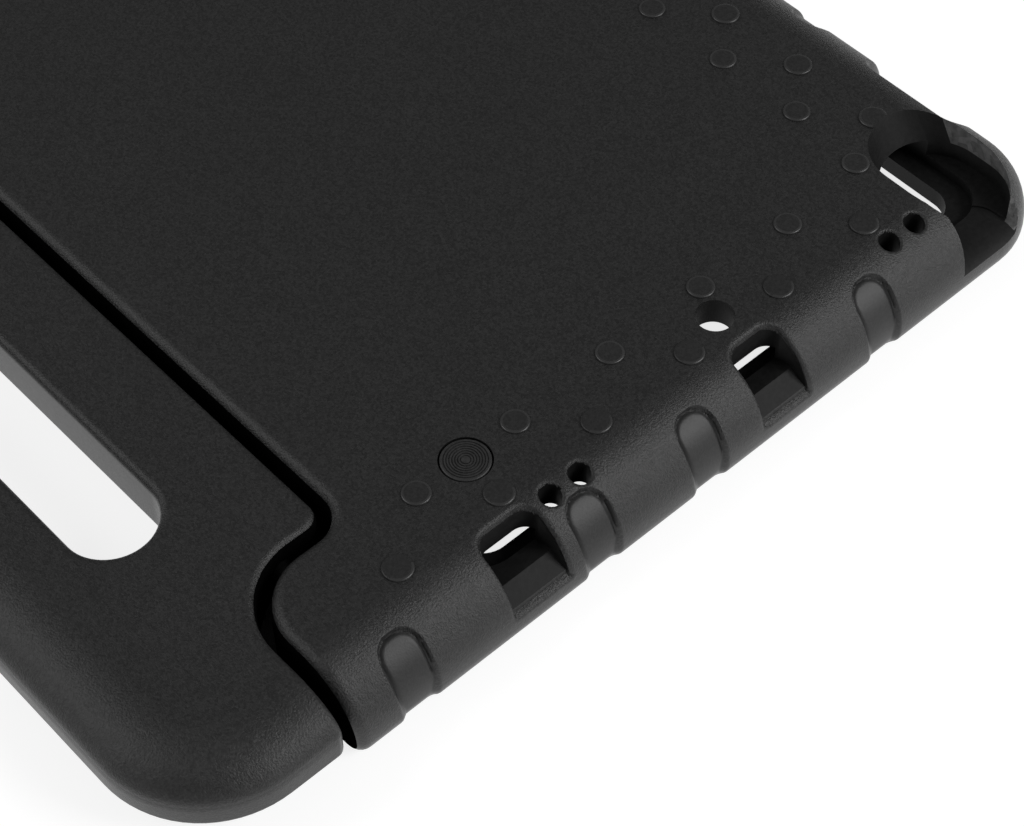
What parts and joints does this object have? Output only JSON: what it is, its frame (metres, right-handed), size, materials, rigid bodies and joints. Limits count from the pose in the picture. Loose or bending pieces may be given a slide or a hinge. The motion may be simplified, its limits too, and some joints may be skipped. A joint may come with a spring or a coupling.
{
  "type": "kids tablet case",
  "caption": "Thick foam tablet case with rounded shockproof sides, tablet bay, port notches, camera opening and a folding carry handle on a pinned hinge.",
  "frame": {"origin": "middle of the bounding box at the level of the front lip, which lies on the table", "axes": "X along the long side, Y from the carry handle to the far long side, Z from the front lip to the back"},
  "size_m": [0.2764, 0.2824, 0.0244],
  "materials": {
    "case_body": "closed-cell foam with a fine pebble grain",
    "handle": "closed-cell foam with a fine pebble grain",
    "blanking_plug": "closed-cell foam with fine turned rings",
    "hinge_pin_left": "moulded",
    "hinge_pin_right": "moulded"
  },
  "bodies": {
    "case": {"case_body": "case_body", "blanking_plug": "blanking_plug"},
    "handle": {"handle": "handle", "hinge_pin_left": "hinge_pin_left", "hinge_pin_right": "hinge_pin_right"}
  },
  "joints": [
    {"name": "handle_hinge", "type": "hinge", "parent": "case", "child": "handle", "pos_m": [0, -0.08065, 0.016], "axis": [-1, 0, 0], "range_deg": [0, 100]}
  ]
}
